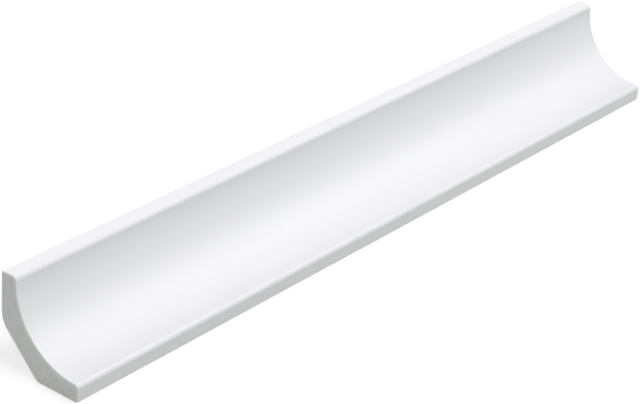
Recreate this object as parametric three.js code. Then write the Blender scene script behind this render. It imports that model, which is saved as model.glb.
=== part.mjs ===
// A length of cove crown moulding, cut square at both ends.
//
// The section has two equal legs at a right angle. The back of the upright leg is the flat that is fixed to the
// wall, and the underside of the other leg is the flat that lies on the ceiling once the length is turned over.
// The corner between those flats is cut away at 45 degrees, which keeps the moulding out of the room's own corner.
// The face is a quarter-round hollow that runs from one square lip to the other.
//
// Millimetres. +X runs along the length, +Y goes into the wall and +Z is up. The origin is the middle of the wall
// flat.

import * as THREE from "three";

// Driving dimensions
const LENGTH = 285; // from one saw cut to the other
const LEG = 29.2; // drop down the wall, and reach along the ceiling
const LIP = 5.5; // thickness of each leg at its free edge
const BACK_RELIEF = 13.8; // how much of each leg the cut-away corner takes
const LIP_ROUND = 1.5; // where a lip turns into the hollow
const COVE_SETBACK = 1.2; // how far the hollow's centre lies behind the free edge of each leg
const EDGE_ROUND = 0.6; // outer corner of each leg
const WALL_HEEL_ROUND = 8.0; // where the cut-away corner meets the wall flat
const CEILING_HEEL_ROUND = 3.8; // where the cut-away corner meets the ceiling flat
const CHORD_ERROR = 0.004; // how far a facet may stand off its curve

// Derived from them. A lip's round touches the free edge of its leg and the hollow, so that its centre lies this
// far from the hollow's centre, along the leg and across it, and the hollow stops this angle short of a quarter.
const COVE_RADIUS = LEG - LIP - COVE_SETBACK;
const ROUND_ALONG = LIP_ROUND - COVE_SETBACK;
const ROUND_ACROSS = Math.sqrt((COVE_RADIUS + LIP_ROUND) ** 2 - ROUND_ALONG ** 2);
const ROUND_SLANT = Math.atan2(ROUND_ALONG, ROUND_ACROSS);
const WALL_FLAT_MIDDLE = (BACK_RELIEF + LEG) / 2; // height above the ceiling flat's plane

// A point of the section: its distance out from the wall, and its height above the ceiling flat's plane.
const at = (out, up) => new THREE.Vector2(out, up);

const WALL_EDGE = at(0, LEG);
const WALL_HEEL = at(0, BACK_RELIEF);
const CEILING_HEEL = at(BACK_RELIEF, 0);
const CEILING_EDGE = at(LEG, 0);
const UPPER_LIP = at(LIP, LEG);
const LOWER_LIP = at(LEG, LIP);
const COVE_CENTRE = at(LEG - COVE_SETBACK, LEG - COVE_SETBACK);
const UPPER_LIP_CENTRE = at(COVE_CENTRE.x - ROUND_ACROSS, COVE_CENTRE.y - ROUND_ALONG);
const LOWER_LIP_CENTRE = at(COVE_CENTRE.x - ROUND_ALONG, COVE_CENTRE.y - ROUND_ACROSS);

// Points along an arc, as few as keep every facet within CHORD_ERROR of it.
function arcPoints(centre, radius, from, to) {
  const widestStep = 2 * Math.acos(1 - CHORD_ERROR / radius);
  const facets = Math.max(2, Math.ceil(Math.abs(to - from) / widestStep));
  return new THREE.EllipseCurve(centre.x, centre.y, radius, radius, from, to, to < from).getPoints(facets);
}

// The corner between two straight edges, rounded to a radius that touches both.
function roundedCorner(before, corner, after, radius) {
  const arriving = before.clone().sub(corner).normalize();
  const leaving = after.clone().sub(corner).normalize();
  const halfAngle = Math.acos(arriving.dot(leaving)) / 2;
  const inward = arriving.clone().add(leaving).normalize();
  const centre = corner.clone().addScaledVector(inward, radius / Math.sin(halfAngle));
  const touch = radius / Math.tan(halfAngle);
  const from = corner.clone().addScaledVector(arriving, touch).sub(centre).angle();
  const to = corner.clone().addScaledVector(leaving, touch).sub(centre).angle();
  const turn = THREE.MathUtils.euclideanModulo(to - from + Math.PI, 2 * Math.PI) - Math.PI;
  return arcPoints(centre, radius, from, from + turn);
}

// The face: the rounded front corner of the upper lip, the hollow, and the rounded corner of the lower lip.
// The hollow leaves out the two points that it shares with them.
function face() {
  return [
    ...arcPoints(UPPER_LIP_CENTRE, LIP_ROUND, 0.5 * Math.PI, ROUND_SLANT),
    ...arcPoints(COVE_CENTRE, COVE_RADIUS, Math.PI + ROUND_SLANT, 1.5 * Math.PI - ROUND_SLANT).slice(1, -1),
    ...arcPoints(LOWER_LIP_CENTRE, LIP_ROUND, 0.5 * Math.PI - ROUND_SLANT, 0),
  ];
}

// The outline of the section, over the lip, down the hollow, and back along the ceiling flat and the wall flat.
function section() {
  const outline = [
    ...roundedCorner(WALL_HEEL, WALL_EDGE, UPPER_LIP, EDGE_ROUND),
    ...face(),
    ...roundedCorner(LOWER_LIP, CEILING_EDGE, CEILING_HEEL, EDGE_ROUND),
    ...roundedCorner(CEILING_EDGE, CEILING_HEEL, WALL_HEEL, CEILING_HEEL_ROUND),
    ...roundedCorner(CEILING_HEEL, WALL_HEEL, WALL_EDGE, WALL_HEEL_ROUND),
  ];
  return new THREE.Shape(outline.map((point) => new THREE.Vector2(-point.x, point.y - WALL_FLAT_MIDDLE)));
}

const whitePolymer = new THREE.MeshStandardMaterial({ color: 0xf2f2f3, roughness: 0.34, metalness: 0 });

// The section is drawn across Y and Z and pushed along X.
function mouldingLength() {
  const geometry = new THREE.ExtrudeGeometry(section(), { depth: LENGTH, bevelEnabled: false });
  const mesh = new THREE.Mesh(geometry, whitePolymer);
  mesh.name = "cove_crown_moulding";
  const across = new THREE.Vector3(0, 1, 0);
  const up = new THREE.Vector3(0, 0, 1);
  const along = new THREE.Vector3(1, 0, 0);
  mesh.setRotationFromMatrix(new THREE.Matrix4().makeBasis(across, up, along));
  mesh.position.x = -LENGTH / 2;
  return mesh;
}

const group = new THREE.Group();
group.add(mouldingLength());

export default group;
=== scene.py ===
# A length of white cove crown moulding, sawn square at both ends, on a pale studio floor.
# Metres, in the row frame: +X runs along the length, +Y goes into the wall and +Z is up.
import math

import bmesh
import bpy
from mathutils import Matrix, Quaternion, Vector, noise


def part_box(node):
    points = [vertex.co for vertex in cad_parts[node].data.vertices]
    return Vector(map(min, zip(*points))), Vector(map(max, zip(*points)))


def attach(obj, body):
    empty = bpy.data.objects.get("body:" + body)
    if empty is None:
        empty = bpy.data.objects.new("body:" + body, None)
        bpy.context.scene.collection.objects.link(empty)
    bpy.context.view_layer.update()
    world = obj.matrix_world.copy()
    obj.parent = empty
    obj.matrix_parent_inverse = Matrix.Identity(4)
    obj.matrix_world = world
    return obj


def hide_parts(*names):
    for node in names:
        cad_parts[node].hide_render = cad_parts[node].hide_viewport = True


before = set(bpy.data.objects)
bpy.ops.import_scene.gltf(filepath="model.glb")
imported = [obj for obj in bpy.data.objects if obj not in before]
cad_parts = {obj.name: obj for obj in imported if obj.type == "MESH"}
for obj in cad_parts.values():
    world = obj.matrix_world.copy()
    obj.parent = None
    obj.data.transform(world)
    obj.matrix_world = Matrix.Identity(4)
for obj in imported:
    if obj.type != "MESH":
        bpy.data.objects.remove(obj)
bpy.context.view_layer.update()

bl_info = {
    "name": "Cove crown moulding length",
    "version": (1, 0, 0),
    "blender": (4, 5, 0),
    "location": "3D View > Sidebar > Moulding",
    "description": "Models a sawn length of cove crown moulding with its finishes and a studio around it",
    "category": "Object",
}

NODE = "cove_crown_moulding"
MM = 0.001

# The frame gives the length and the leg. The other sizes of the section are the maker's own.
LOWEST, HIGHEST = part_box(NODE)
LENGTH = HIGHEST.x - LOWEST.x
LEG = HIGHEST.z - LOWEST.z


def length_property(name, description, default):
    """A size in metres that the sidebar shows in the scene's own unit."""
    return bpy.props.FloatProperty(
        name=name, description=description, default=default, min=0, unit="LENGTH", precision=5
    )


def colour_property(name, description, default):
    """A colour without alpha."""
    return bpy.props.FloatVectorProperty(
        name=name, description=description, default=default, size=3, min=0, max=1, subtype="COLOR"
    )


def share_property(name, description, default):
    """A number from nothing to one."""
    return bpy.props.FloatProperty(
        name=name, description=description, default=default, min=0, max=1, subtype="FACTOR"
    )


def angle_property(name, description, degrees):
    """An angle, kept in radians and shown in degrees."""
    return bpy.props.FloatProperty(
        name=name, description=description, default=math.radians(degrees), subtype="ANGLE"
    )


def light_property(name, description, default, unit="POWER"):
    """How strong a light is."""
    return bpy.props.FloatProperty(name=name, description=description, default=default, min=0, unit=unit)


class MouldingSizes(bpy.types.PropertyGroup):
    """Sizes of the section and of the sawn ends."""

    length: length_property("Length", "From one saw cut to the other", LENGTH)
    leg: length_property("Leg", "Drop down the wall, and reach along the ceiling", LEG)
    lip: length_property("Lip", "Thickness of each leg at its free edge", 5.5 * MM)
    back_relief: length_property("Back relief", "How much of each leg the cut-away corner takes", 13.8 * MM)
    lip_round: length_property("Lip round", "Where a lip turns into the hollow", 1.5 * MM)
    cove_setback: length_property("Cove setback", "From a leg's free edge to the hollow's centre", 1.2 * MM)
    edge_round: length_property("Edge round", "Outer corner of each leg", 0.6 * MM)
    wall_heel_round: length_property("Wall heel", "Where the cut-away corner meets the wall flat", 8.0 * MM)
    ceiling_heel_round: length_property("Ceiling heel", "Where it meets the ceiling flat", 3.8 * MM)
    sawn_arris: length_property("Sawn arris", "Softened edge that the saw leaves round an end", 0.16 * MM)
    skin: length_property("Skin", "Dense outer skin that shows round a sawn end", 0.34 * MM)
    end_grid: length_property("End grid", "Mesh pitch on the sawn ends", 0.26 * MM)
    saw_relief: length_property("Saw relief", "Depth of the saw's marks on an end", 0.03 * MM)
    ring_pitch: length_property("Ring pitch", "Distance between the rings along the length", 5.0 * MM)


class MouldingFinish(bpy.types.PropertyGroup):
    """Colours and gloss of the skin and of the sawn core."""

    skin_colour: colour_property("Skin", "Satin white outer skin", (0.893, 0.893, 0.927))
    skin_shade: colour_property("Skin shade", "Faintly darker clouds in the skin", (0.879, 0.880, 0.911))
    core_colour: colour_property("Core", "Sawn foamed core", (0.94, 0.935, 0.935))
    core_shade: colour_property("Core shade", "Darker cells and streaks in the core", (0.765, 0.766, 0.76))
    rim_colour: colour_property("Rim", "Dense skin seen on the sawn end", (0.87, 0.88, 0.87))
    dense_colour: colour_property("Dense core", "Paler foam just behind the hollow", (0.965, 0.965, 0.975))
    skin_roughness: share_property("Skin roughness", "How matt the skin is", 0.36)
    core_roughness: share_property("Core roughness", "How matt a sawn end is", 0.9)


class MouldingStudio(bpy.types.PropertyGroup):
    """The camera, the floor and the lights."""

    aim: bpy.props.FloatVectorProperty(
        name="Aim", description="Point that the camera looks at", default=(-0.00763, -0.00407, -0.01842),
        subtype="TRANSLATION",
    )
    azimuth: angle_property("Azimuth", "Where the camera stands round the moulding", -53.134)
    elevation: angle_property("Elevation", "How high it stands above the horizon", 27.187)
    roll: angle_property("Roll", "How far it leans to one side", 4.404)
    distance: length_property("Distance", "From the camera to its aim", 0.7198)
    lens: bpy.props.FloatProperty(name="Lens", description="Focal length", default=128.17, unit="CAMERA")
    floor_size: length_property("Floor", "Width of the floor", 24.0)
    floor_colour: colour_property("Floor colour", "Pale plain floor, as it looks", (0.52, 0.52, 0.52))
    floor_glow: light_property("Floor glow", "Light that comes up through the floor", 0.52, "NONE")
    floor_bounce: colour_property("Floor bounce", "The floor as it lights the piece", (0.576, 0.597, 0.560))
    room_light: light_property("Room light", "Even light from all round", 0.02, "NONE")
    overhead: light_property("Overhead", "Softbox above, a little to the front", 12.15)
    behind: light_property("Behind", "Softbox at the back", 15.2)
    left: light_property("Left", "Softbox over the near end", 4.55)
    front: light_property("Front", "Softbox at the front right", 4.1)
    right: light_property("Right", "Softbox over the far end", 1.32)


# The outline of the section

ALONG = Vector((1, 0, 0))
QUARTER = math.radians(90)
EIGHTH = math.radians(45)
STEPS_IN_A_QUARTER = 24
HOLLOW_STEPS = 96
SUPPORT = 0.12 * MM  # a short facet beside every round, which keeps the flats flat in the light
WELD = SUPPORT / 10  # vertices nearer to each other than this are one


def wall_flat_middle(sizes):
    """Height of the wall flat's middle, which is the origin, above the ceiling flat's plane."""
    return (sizes.back_relief + sizes.leg) / 2


def hollow_centre(sizes):
    """The hollow's centre is as far out from the wall as it is above the ceiling flat's plane."""
    return sizes.leg - sizes.cove_setback


def hollow_radius(sizes):
    """From the hollow's centre to its face."""
    return hollow_centre(sizes) - sizes.lip


class Pen:
    """Draws the outline at one end of the moulding, from vertex to vertex."""

    def __init__(self, bm, sizes):
        self.bm = bm
        self.sizes = sizes
        self.last = bm.verts.new(self.place(0, sizes.leg - sizes.edge_round))

    def place(self, out, up):
        """A point of the section, from its distance from the wall and its height above the ceiling flat."""
        return Vector((-self.sizes.length / 2, -out, up - wall_flat_middle(self.sizes)))

    def go(self, out, up):
        """A straight stretch to that point, with a short facet at each of its ends."""
        start, end = self.last.co.copy(), self.place(out, up)
        support = (end - start).normalized() * SUPPORT
        for place in (start + support, end - support, end):
            vert = bmesh.ops.extrude_vert_indiv(self.bm, verts=[self.last])["verts"][0]
            bmesh.ops.translate(self.bm, verts=[vert], vec=place - self.last.co)
            self.last = vert

    def turn(self, out, up, angle, steps):
        """A round stretch about that point. A turn to the left, seen from the far end, is positive."""
        spun = bmesh.ops.spin(
            self.bm, geom=[self.last], cent=self.place(out, up), axis=ALONG, angle=angle, steps=steps
        )
        self.last = next(item for item in spun["geom_last"] if isinstance(item, bmesh.types.BMVert))

    def close(self):
        """The last straight stretch, back to the first vertex, and the face inside the outline."""
        self.go(0, self.sizes.leg - self.sizes.edge_round)
        bmesh.ops.remove_doubles(self.bm, verts=self.bm.verts[:], dist=WELD)
        return bmesh.ops.contextual_create(self.bm, geom=self.bm.edges[:])["faces"][0]


def draw_section(bm, sizes):
    """The end face: over the upper lip, down the hollow, and back along the two flats."""
    leg, edge = sizes.leg, sizes.edge_round
    wall_heel, ceiling_heel = sizes.wall_heel_round, sizes.ceiling_heel_round
    centre = hollow_centre(sizes)
    along = sizes.lip_round - sizes.cove_setback
    across = math.sqrt((hollow_radius(sizes) + sizes.lip_round) ** 2 - along ** 2)
    slant = math.atan2(along, across)
    wall_touch = wall_heel * math.tan(EIGHTH / 2)
    ceiling_touch = ceiling_heel * math.tan(EIGHTH / 2)

    pen = Pen(bm, sizes)
    pen.turn(edge, leg - edge, QUARTER, STEPS_IN_A_QUARTER)
    pen.go(centre - across, leg)
    pen.turn(centre - across, centre - along, QUARTER - slant, STEPS_IN_A_QUARTER)
    pen.turn(centre, centre, 2 * slant - QUARTER, HOLLOW_STEPS)
    pen.turn(centre - along, centre - across, QUARTER - slant, STEPS_IN_A_QUARTER)
    pen.go(leg, edge)
    pen.turn(leg - edge, edge, QUARTER, STEPS_IN_A_QUARTER)
    pen.go(sizes.back_relief + ceiling_touch, 0)
    pen.turn(sizes.back_relief + ceiling_touch, ceiling_heel, EIGHTH, STEPS_IN_A_QUARTER // 2)
    slope = wall_touch * math.sin(EIGHTH)
    pen.go(slope, sizes.back_relief - slope)
    pen.turn(wall_heel, sizes.back_relief + wall_touch, EIGHTH, STEPS_IN_A_QUARTER // 2)
    return pen.close()


# The body of the moulding

SKIN, BACK, RIM, CORE = range(4)
ARRIS_SEGMENTS = 3
RINGS_KEEP_OFF = 4  # sawn arrises between a saw cut and the nearest ring
FACES_BACK = 0.5  # a face whose normal points this much at the wall or the ceiling is on the back

# The marks on a sawn end: how wide each is across the section and how long round the hollow, the height
# of its slice through the noise, and its share of the relief
SAW_STREAK = (0.9 * MM, 5 * MM)
CUT_CELL = (0.5 * MM, 0.6 * MM)
STREAK_SLICE, CELL_SLICE = 3.1, 7.7
STREAK_SHARE, CELL_SHARE = 0.35, 0.25
HALF_DEEP = 0.5


def pull_out(bm, face, sizes):
    """The section pushed along to the full length, with rings that cut the long strips into even pieces."""
    pushed = bmesh.ops.extrude_face_region(bm, geom=[face], use_keep_orig=True)["geom"]
    far_end = [item for item in pushed if isinstance(item, bmesh.types.BMVert)]
    bmesh.ops.translate(bm, verts=far_end, vec=ALONG * sizes.length)
    bmesh.ops.recalc_face_normals(bm, faces=bm.faces[:])
    bays = round(sizes.length / sizes.ring_pitch)
    inside_the_ends = sizes.length / 2 - RINGS_KEEP_OFF * sizes.sawn_arris
    rings = [sizes.length * (bay / bays - 0.5) for bay in range(1, bays)]
    for x in [-inside_the_ends, *rings, inside_the_ends]:
        whole = bm.verts[:] + bm.edges[:] + bm.faces[:]
        bmesh.ops.bisect_plane(bm, geom=whole, plane_co=ALONG * x, plane_no=ALONG)


def end_faces(bm):
    """The two faces that the saw left."""
    return [face for face in bm.faces if len(face.verts) > HOLLOW_STEPS]


def soften_arrises(bm, sizes):
    """A fine round on the edge of each sawn end."""
    outline = [edge for face in end_faces(bm) for edge in face.edges]
    bmesh.ops.bevel(
        bm, geom=outline, offset=sizes.sawn_arris, offset_type="OFFSET", segments=ARRIS_SEGMENTS,
        profile=0.5, affect="EDGES", material=-1, clamp_overlap=False,
    )


def name_the_back(bm):
    """The flats behind the moulding take the plainer finish, and the other faces the satin one."""
    for face in bm.faces:
        behind = face.normal.y > FACES_BACK or face.normal.z < -FACES_BACK
        face.material_index = BACK if behind else SKIN


def grid_end(bm, core, pitch):
    """The core of an end, cut into small squares. Its own outline stays as it is."""
    ys = [vert.co.y for vert in core.verts]
    zs = [vert.co.z for vert in core.verts]
    pieces = [core]
    for values, normal in ((ys, Vector((0, 1, 0))), (zs, Vector((0, 0, 1)))):
        low, high = min(values), max(values)
        rows = math.ceil((high - low) / pitch)
        for row in range(1, rows):
            place = normal * (low + (high - low) * row / rows)
            around = {edge for face in pieces for edge in face.edges}
            corners = {vert for face in pieces for vert in face.verts}
            cut = bmesh.ops.bisect_plane(
                bm, geom=[*pieces, *around, *corners], plane_co=place, plane_no=normal
            )
            pieces = [item for item in cut["geom"] if isinstance(item, bmesh.types.BMFace)]
    return pieces


def round_the_hollow(place, sizes):
    """How far a point of the section is from the hollow's centre, and how far round it along the hollow."""
    centre = hollow_centre(sizes)
    out, up = place.y + centre, place.z + wall_flat_middle(sizes) - centre
    return math.hypot(out, up), math.atan2(-out, -up) * hollow_radius(sizes)


def mark(away, round_it, size, slice_height):
    """From -1 to 1, how much of that mark there is at a point of the section."""
    width, reach = size
    return noise.noise(Vector((away / width, round_it / reach, slice_height)))


def mark_end(pieces, sizes, inward):
    """The saw's marks and the cut cells: small hollows that follow the section, below the end's plane."""
    inner = {vert for face in pieces for vert in face.verts if all(f in pieces for f in vert.link_faces)}
    for vert in inner:
        away, round_it = round_the_hollow(vert.co, sizes)
        streak = mark(away, round_it, SAW_STREAK, STREAK_SLICE)
        cell = mark(away, round_it, CUT_CELL, CELL_SLICE)
        depth = HALF_DEEP + STREAK_SHARE * streak + CELL_SHARE * cell
        vert.co.x += inward * sizes.saw_relief * max(0.0, min(1.0, depth))


def work_ends(bm, sizes):
    """Each end gets its dense rim and its marked core."""
    for end in end_faces(bm):
        inward = -math.copysign(1, end.normal.x)
        rim = bmesh.ops.inset_region(bm, faces=[end], thickness=sizes.skin, use_even_offset=True)["faces"]
        for face in rim:
            face.material_index = RIM
        pieces = grid_end(bm, end, sizes.end_grid)
        for face in pieces:
            face.material_index = CORE
        mark_end(set(pieces), sizes, inward)


def shape_moulding(sizes):
    """The whole length as one closed mesh."""
    bm = bmesh.new()
    face = draw_section(bm, sizes)
    pull_out(bm, face, sizes)
    soften_arrises(bm, sizes)
    name_the_back(bm)
    work_ends(bm, sizes)
    for face in bm.faces:
        face.smooth = True
    mesh = bpy.data.meshes.new("cove_moulding")
    bm.to_mesh(mesh)
    bm.free()
    return mesh


# The finishes

# How often each pattern repeats in a metre, along each axis
DRAW_LINES = (8, 900, 900)
PEBBLE = (1500, 1500, 1500)
HAZE = (14, 60, 60)
GRIT = (3200, 3200, 3200)
CELLS = 2300
STREAKS_ACROSS = 1500
STREAKS_AROUND = 260

LINE_DEPTH = 0.002 * MM  # draw lines on the faces that show
BACK_LINE_DEPTH = 0.006 * MM
PEBBLE_DEPTH = 0.001 * MM
RIM_PORE_DEPTH = 0.004 * MM
CORE_PORE_DEPTH = 0.02 * MM
DENSE_BAND = 1.5 * MM  # how deep the paler foam goes behind the hollow

BACK_ROUGHNESS = 0.62
ROUGHNESS_BELOW, ROUGHNESS_ABOVE = 0.03, 0.05  # how far the haze takes the skin's roughness down and up
SMOOTHER_BELOW = 0.06  # how far the finest spots of a sawn end fall below its roughness
ROUGHEST_END = 0.98
END_SPECULAR = 0.3

# The share of each pattern in the tone of a finish, and of the tone in the relief
LINES_IN_TONE = 0.4
STREAKS_IN_TONE, GRIT_IN_TONE, PORES_IN_TONE = 0.45, 0.55, 0.12
TONE_IN_RELIEF = 0.5

# The part of each pattern's range that makes the difference
GLOSS_SPAN = (0.3, 0.7)
SKIN_TONE_SPAN = (0.5, 1.0)
END_TONE_SPAN = (0.39, 0.65)
PORE_SPAN = (0.1, 0.42)


class Finish:
    """A material in the making. It adds nodes and wires them together."""

    def __init__(self, name):
        self.material = bpy.data.materials.new(name)
        self.material.use_nodes = True
        self.nodes = self.material.node_tree.nodes
        self.links = self.material.node_tree.links
        self.surface = self.nodes["Principled BSDF"]
        self.place = self.add("ShaderNodeTexCoord").outputs["Object"]

    def add(self, kind, **settings):
        """A new node with those settings."""
        node = self.nodes.new(kind)
        for name, value in settings.items():
            setattr(node, name, value)
        return node

    def feed(self, socket, source):
        """Puts a value into a socket, or wires another node's socket to it."""
        if isinstance(source, bpy.types.NodeSocket):
            self.links.new(source, socket)
        else:
            socket.default_value = source

    def maths(self, operation, first, second=0.0):
        """One step of arithmetic on two numbers."""
        node = self.add("ShaderNodeMath", operation=operation)
        self.feed(node.inputs[0], first)
        self.feed(node.inputs[1], second)
        return node.outputs[0]

    def stretched(self, place, per_metre):
        """Coordinates for a pattern that repeats so many times in a metre along each axis."""
        node = self.add("ShaderNodeMapping", vector_type="POINT")
        self.feed(node.inputs["Vector"], place)
        node.inputs["Scale"].default_value = per_metre
        return node.outputs["Vector"]

    def clouds(self, place, detail):
        """Soft noise from 0 to 1, with features about as large as one unit of its coordinates."""
        node = self.add("ShaderNodeTexNoise", noise_dimensions="3D")
        self.feed(node.inputs["Vector"], place)
        node.inputs["Scale"].default_value = 1.0
        node.inputs["Detail"].default_value = detail
        return node.outputs["Fac"]

    def spread(self, value, span, to_low, to_high):
        """A range of numbers mapped to another one."""
        node = self.add("ShaderNodeMapRange", clamp=True)
        for socket, source in zip(node.inputs, (value, *span, to_low, to_high)):
            self.feed(socket, source)
        return node.outputs["Result"]

    def mixed(self, factor, first, second):
        """Two colours mixed by a factor."""
        node = self.add("ShaderNodeMix", data_type="RGBA")
        self.feed(node.inputs["Factor"], factor)
        self.feed(node.inputs["A"], first if isinstance(first, bpy.types.NodeSocket) else (*first, 1))
        self.feed(node.inputs["B"], second if isinstance(second, bpy.types.NodeSocket) else (*second, 1))
        return node.outputs["Result"]

    def raised(self, height, depth, below=None):
        """Fine relief of that depth, laid over the relief below it."""
        node = self.add("ShaderNodeBump")
        self.feed(node.inputs["Height"], height)
        node.inputs["Strength"].default_value = 1.0
        node.inputs["Distance"].default_value = depth
        if below is not None:
            self.feed(node.inputs["Normal"], below)
        return node.outputs["Normal"]


def drawn_skin(name, finish, roughness, line_depth):
    """The smooth outer skin: faint clouds, faint draw lines down the length and a very fine pebble."""
    coat = Finish(name)
    lines = coat.clouds(coat.stretched(coat.place, DRAW_LINES), detail=3)
    pebble = coat.clouds(coat.stretched(coat.place, PEBBLE), detail=2)
    haze = coat.clouds(coat.stretched(coat.place, HAZE), detail=3)
    clouded = coat.maths("ADD", haze, coat.maths("MULTIPLY", lines, LINES_IN_TONE))
    tone = coat.spread(clouded, SKIN_TONE_SPAN, 0, 1)
    coat.feed(coat.surface.inputs["Base Color"], coat.mixed(tone, finish.skin_colour, finish.skin_shade))
    gloss = coat.spread(haze, GLOSS_SPAN, roughness - ROUGHNESS_BELOW, roughness + ROUGHNESS_ABOVE)
    coat.feed(coat.surface.inputs["Roughness"], gloss)
    relief = coat.raised(pebble, PEBBLE_DEPTH, coat.raised(lines, line_depth))
    coat.feed(coat.surface.inputs["Normal"], relief)
    return coat.material


def satin_skin(finish):
    """The skin on the faces that show."""
    return drawn_skin("satin_white_skin", finish, finish.skin_roughness, LINE_DEPTH)


def plain_back(finish):
    """The skin on the faces that nobody sees: duller, with deeper draw lines."""
    return drawn_skin("plain_back", finish, BACK_ROUGHNESS, BACK_LINE_DEPTH)


def hollow_coordinates(raw, sizes):
    """Sockets for a point's distance from the hollow's centre, and for its angle round it."""
    centre = hollow_centre(sizes)
    parts = raw.add("ShaderNodeSeparateXYZ")
    raw.feed(parts.inputs[0], raw.place)
    out = raw.maths("ADD", parts.outputs["Y"], centre)
    up = raw.maths("ADD", parts.outputs["Z"], wall_flat_middle(sizes) - centre)
    squares = raw.maths("ADD", raw.maths("MULTIPLY", out, out), raw.maths("MULTIPLY", up, up))
    return raw.maths("SQRT", squares), raw.maths("ARCTAN2", raw.maths("MULTIPLY", up, -1.0), out)


def section_grain(raw, away, angle, radius):
    """Coordinates that run round the hollow, so that a pattern on a sawn end follows the section."""
    joined = raw.add("ShaderNodeCombineXYZ")
    raw.feed(joined.inputs["X"], raw.maths("MULTIPLY", away, STREAKS_ACROSS))
    raw.feed(joined.inputs["Y"], raw.maths("MULTIPLY", angle, STREAKS_AROUND * radius))
    return joined.outputs["Vector"]


def sawn_end(name, finish, sizes, base, fleck, pore_depth):
    """Sawn foamed plastic: streaks that follow the section, cut cells, and paler foam behind the hollow."""
    raw = Finish(name)
    radius = hollow_radius(sizes)
    away, angle = hollow_coordinates(raw, sizes)
    streaks = raw.clouds(section_grain(raw, away, angle, radius), detail=4)
    grit = raw.clouds(raw.stretched(raw.place, GRIT), detail=2)
    cells = raw.add("ShaderNodeTexVoronoi", feature="F1")
    raw.feed(cells.inputs["Vector"], raw.place)
    cells.inputs["Scale"].default_value = CELLS
    pores = raw.spread(cells.outputs["Distance"], PORE_SPAN, 1, 0)
    shade = raw.maths(
        "ADD", raw.maths("MULTIPLY", streaks, STREAKS_IN_TONE), raw.maths("MULTIPLY", grit, GRIT_IN_TONE)
    )
    tone = raw.maths("ADD", shade, raw.maths("MULTIPLY", pores, PORES_IN_TONE))
    foam = raw.mixed(raw.spread(tone, END_TONE_SPAN, 0, 1), base, fleck)
    dense = raw.spread(away, (radius, radius + DENSE_BAND), 1, 0)
    raw.feed(raw.surface.inputs["Base Color"], raw.mixed(dense, foam, finish.dense_colour))
    gloss = raw.spread(grit, GLOSS_SPAN, finish.core_roughness - SMOOTHER_BELOW, ROUGHEST_END)
    raw.feed(raw.surface.inputs["Roughness"], gloss)
    raw.surface.inputs["Specular IOR Level"].default_value = END_SPECULAR
    height = raw.maths("SUBTRACT", raw.maths("MULTIPLY", shade, TONE_IN_RELIEF), pores)
    raw.feed(raw.surface.inputs["Normal"], raw.raised(height, pore_depth))
    return raw.material


def dense_rim(finish, sizes):
    """The skin cut through by the saw: smoother than the core, and without its dark cells."""
    return sawn_end("sawn_rim", finish, sizes, finish.rim_colour, finish.core_colour, RIM_PORE_DEPTH)


def foamed_core(finish, sizes):
    """The core cut through by the saw."""
    return sawn_end("sawn_core", finish, sizes, finish.core_colour, finish.core_shade, CORE_PORE_DEPTH)


# The studio

FLOOR_GAP = 0.02 * MM  # between the floor and the moulding
FLOOR_SQUARES = 12
FLOOR_HAZE = (3, 3, 3)  # how often it repeats in a metre
FLOOR_SHADE = 0.985  # how dark the haze is against the floor
SENSOR_WIDTH = 36  # millimetres
CLIPPING = (0.01, 100)  # metres

# Where each softbox stands, and its width and height, in metres
SOFTBOXES = {
    "overhead": ((0, -0.6, 1.3), 1.0, 1.0),
    "behind": ((0, 1.5, 0.8), 1.2, 0.8),
    "left": ((-0.9, -0.2, 1.1), 0.8, 0.8),
    "front": ((0.8, -0.6, 0.9), 0.8, 0.8),
    "right": ((0.6, 0, 0.7), 0.6, 0.6),
}


def softbox(name, place, width, height, watts):
    """A soft rectangular light, in metres and watts, that looks at the moulding."""
    light = bpy.data.lights.new(name, "AREA")
    light.shape = "RECTANGLE"
    light.size, light.size_y = width, height
    light.energy = watts
    lamp = bpy.data.objects.new(name, light)
    lamp.location = place
    lamp.rotation_mode = "QUATERNION"
    lamp.rotation_quaternion = (-Vector(place)).to_track_quat("-Z", "Y")
    bpy.context.scene.collection.objects.link(lamp)


def pale_floor(studio):
    """A plain floor that the moulding lies on. A little light comes up through it, as on a lit table."""
    bm = bmesh.new()
    bmesh.ops.create_grid(
        bm, x_segments=FLOOR_SQUARES, y_segments=FLOOR_SQUARES, size=studio.floor_size / 2
    )
    bmesh.ops.translate(bm, verts=bm.verts[:], vec=(0, 0, LOWEST.z - FLOOR_GAP))
    mesh = bpy.data.meshes.new("pale_floor")
    bm.to_mesh(mesh)
    bm.free()
    paint = Finish("pale_floor")
    shade = tuple(value * FLOOR_SHADE for value in studio.floor_colour)
    haze = paint.clouds(paint.stretched(paint.place, FLOOR_HAZE), detail=2)
    look = paint.mixed(haze, studio.floor_colour, shade)
    seen = paint.add("ShaderNodeLightPath").outputs["Is Camera Ray"]
    paint.feed(paint.surface.inputs["Base Color"], paint.mixed(seen, studio.floor_bounce, look))
    paint.surface.inputs["Emission Color"].default_value = (1, 1, 1, 1)
    paint.feed(paint.surface.inputs["Emission Strength"], paint.maths("MULTIPLY", seen, studio.floor_glow))
    paint.surface.inputs["Roughness"].default_value = 1.0
    paint.surface.inputs["Specular IOR Level"].default_value = 0.0
    mesh.materials.append(paint.material)
    floor = bpy.data.objects.new("pale_floor", mesh)
    bpy.context.scene.collection.objects.link(floor)


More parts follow.
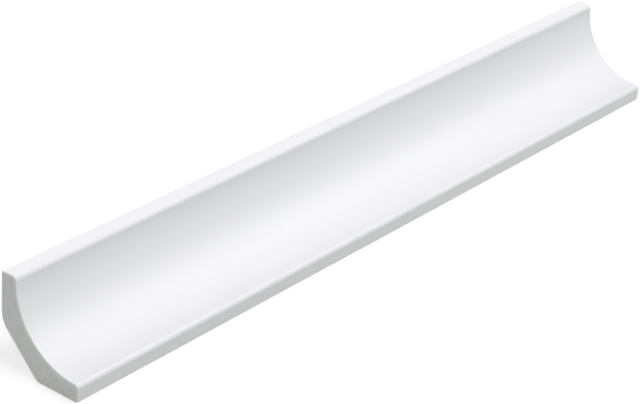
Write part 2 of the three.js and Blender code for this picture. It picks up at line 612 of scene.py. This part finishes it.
def white_room(studio):
    """The room round the floor: white to look at, but it gives little light."""
    world = bpy.data.worlds.new("white_room")
    world.use_nodes = True
    nodes, links = world.node_tree.nodes, world.node_tree.links
    background = nodes["Background"]
    background.inputs["Color"].default_value = (1, 1, 1, 1)
    strength = nodes.new("ShaderNodeMapRange")
    strength.inputs["To Min"].default_value = studio.room_light
    strength.inputs["To Max"].default_value = 1.0
    links.new(nodes.new("ShaderNodeLightPath").outputs["Is Camera Ray"], strength.inputs["Value"])
    links.new(strength.outputs["Result"], background.inputs["Strength"])
    bpy.context.scene.world = world


def photo_camera(studio):
    """The camera at the photograph's angle."""
    camera = bpy.data.cameras.new("photo_camera")
    camera.lens = studio.lens
    camera.sensor_width = SENSOR_WIDTH
    camera.clip_start, camera.clip_end = CLIPPING
    holder = bpy.data.objects.new("photo_camera", camera)
    back = Vector((
        math.sin(studio.azimuth) * math.cos(studio.elevation),
        -math.cos(studio.azimuth) * math.cos(studio.elevation),
        math.sin(studio.elevation),
    ))
    holder.location = Vector(studio.aim) + back * studio.distance
    holder.rotation_mode = "QUATERNION"
    holder.rotation_quaternion = (-back).to_track_quat("-Z", "Y") @ Quaternion((0, 0, 1), studio.roll)
    bpy.context.scene.collection.objects.link(holder)
    bpy.context.scene.camera = holder


# The operators

class OBJECT_OT_cove_moulding(bpy.types.Operator):
    """Models the moulding and gives it its finishes"""

    bl_idname = "object.cove_moulding"
    bl_label = "Cove moulding"

    def execute(self, context):
        sizes, finish = context.scene.moulding_sizes, context.scene.moulding_finish
        mesh = shape_moulding(sizes)
        for material in (
            satin_skin(finish), plain_back(finish), dense_rim(finish, sizes), foamed_core(finish, sizes)
        ):
            mesh.materials.append(material)
        piece = bpy.data.objects.new("cove_moulding", mesh)
        context.scene.collection.objects.link(piece)
        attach(piece, "root")
        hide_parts(NODE)
        return {"FINISHED"}


class OBJECT_OT_moulding_studio(bpy.types.Operator):
    """Sets the floor, the lights and the camera round the moulding"""

    bl_idname = "object.moulding_studio"
    bl_label = "Studio"

    def execute(self, context):
        studio = context.scene.moulding_studio
        pale_floor(studio)
        white_room(studio)
        for name, (place, width, height) in SOFTBOXES.items():
            softbox(f"{name}_softbox", place, width, height, getattr(studio, name))
        photo_camera(studio)
        context.scene.view_settings.view_transform = "Standard"
        return {"FINISHED"}


class VIEW3D_PT_cove_moulding(bpy.types.Panel):
    """Lists the moulding's sizes and what makes it"""

    bl_label = "Cove moulding"
    bl_idname = "VIEW3D_PT_cove_moulding"
    bl_space_type = "VIEW_3D"
    bl_region_type = "UI"
    bl_category = "Moulding"

    def draw(self, context):
        column = self.layout.column()
        for operator in (OBJECT_OT_cove_moulding, OBJECT_OT_moulding_studio):
            column.operator(operator.bl_idname)
        for group in GROUPS:
            settings = getattr(context.scene, group)
            for name in settings.bl_rna.properties.keys():
                if name not in ("rna_type", "name"):
                    column.prop(settings, name)


GROUPS = {
    "moulding_sizes": MouldingSizes,
    "moulding_finish": MouldingFinish,
    "moulding_studio": MouldingStudio,
}
CLASSES = (*GROUPS.values(), OBJECT_OT_cove_moulding, OBJECT_OT_moulding_studio, VIEW3D_PT_cove_moulding)


def register():
    for kind in CLASSES:
        bpy.utils.register_class(kind)
    for name, kind in GROUPS.items():
        setattr(bpy.types.Scene, name, bpy.props.PointerProperty(type=kind))


def unregister():
    for name in GROUPS:
        delattr(bpy.types.Scene, name)
    for kind in reversed(CLASSES):
        bpy.utils.unregister_class(kind)


def main():
    register()
    bpy.ops.object.cove_moulding()
    bpy.ops.object.moulding_studio()


if __name__ == "__main__":
    main()
